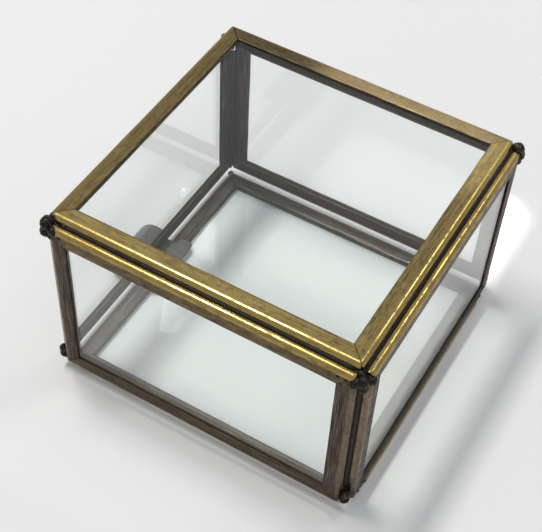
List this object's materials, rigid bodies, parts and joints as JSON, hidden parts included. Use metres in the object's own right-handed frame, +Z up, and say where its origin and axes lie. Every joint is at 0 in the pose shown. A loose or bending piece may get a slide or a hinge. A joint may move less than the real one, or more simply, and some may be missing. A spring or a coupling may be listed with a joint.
{
  "type": "glass casket box",
  "caption": "Small glass keepsake box in soldered brass came, with a hinged glass lid and a lift tab, standing upside down on its closed lid.",
  "frame": {"origin": "centre of the lid's outer side, in the plane of its came strips, which rest on the table in the pictured stance; the pane's outer face lies 0.4 mm above it", "axes": "+X from the lift tab's side to the hinge's side, +Y from the near wall to the far wall, +Z up from the lid to the base"},
  "size_m": [0.0981, 0.0896, 0.059],
  "materials": {
    "clear_glass": "clear, slightly smeared, faint green-blue tint",
    "base_came": "aged, mottled, bright along the folded edge",
    "wall_rail": "aged, tarnished to brown and grey-green",
    "wall_post": "tarnished to brown and grey",
    "lid_came": "tarnished to grey-green and near black",
    "hinge_tube": "tarnished",
    "hinge_pin": "dull wire",
    "lift_tab": "dull grey, tinned and tarnished",
    "solder": "black patinated solder, lumpy with small bright spots"
  },
  "bodies": {
    "lid": {"lid_glass": "clear_glass", "lid_near_came": "lid_came", "lid_hinge_came": "lid_came", "lid_far_came": "lid_came", "lid_tab_came": "lid_came", "lid_solder_near_tab": "solder", "lid_solder_far_tab": "solder", "hinge_pin": "hinge_pin", "hinge_pin_anchor_near": "solder", "hinge_pin_anchor_far": "solder", "lift_tab": "lift_tab"},
    "casing": {"base_glass": "clear_glass", "base_near_came": "base_came", "base_hinge_came": "base_came", "base_far_came": "base_came", "base_tab_came": "base_came", "near_wall_glass": "clear_glass", "near_wall_rim_came": "wall_rail", "near_wall_hinge_post": "wall_post", "near_wall_foot_came": "wall_rail", "near_wall_tab_post": "wall_post", "hinge_wall_glass": "clear_glass", "hinge_wall_rim_came": "wall_rail", "hinge_wall_far_post": "wall_post", "hinge_wall_foot_came": "wall_rail", "hinge_wall_near_post": "wall_post", "far_wall_glass": "clear_glass", "far_wall_rim_came": "wall_rail", "far_wall_tab_post": "wall_post", "far_wall_foot_came": "wall_rail", "far_wall_hinge_post": "wall_post", "tab_wall_glass": "clear_glass", "tab_wall_rim_came": "wall_rail", "tab_wall_near_post": "wall_post", "tab_wall_foot_came": "wall_rail", "tab_wall_far_post": "wall_post", "base_near_seam": "solder", "base_hinge_seam": "solder", "base_far_seam": "solder", "base_tab_seam": "solder", "upright_seam_near_tab": "solder", "upright_seam_near_hinge": "solder", "upright_seam_far_hinge": "solder", "upright_seam_far_tab": "solder", "base_solder_near_tab": "solder", "base_solder_near_hinge": "solder", "base_solder_far_hinge": "solder", "base_solder_far_tab": "solder", "rim_solder_near_tab": "solder", "rim_solder_near_hinge": "solder", "rim_solder_far_hinge": "solder", "rim_solder_far_tab": "solder", "hinge_tube": "hinge_tube", "hinge_seam": "solder"}
  },
  "joints": [
    {"name": "lid_hinge", "type": "hinge", "parent": "lid", "child": "casing", "pos_m": [0.0439, 0, 0.00264], "axis": [0, 1, 0], "range_deg": [0, 90]}
  ]
}
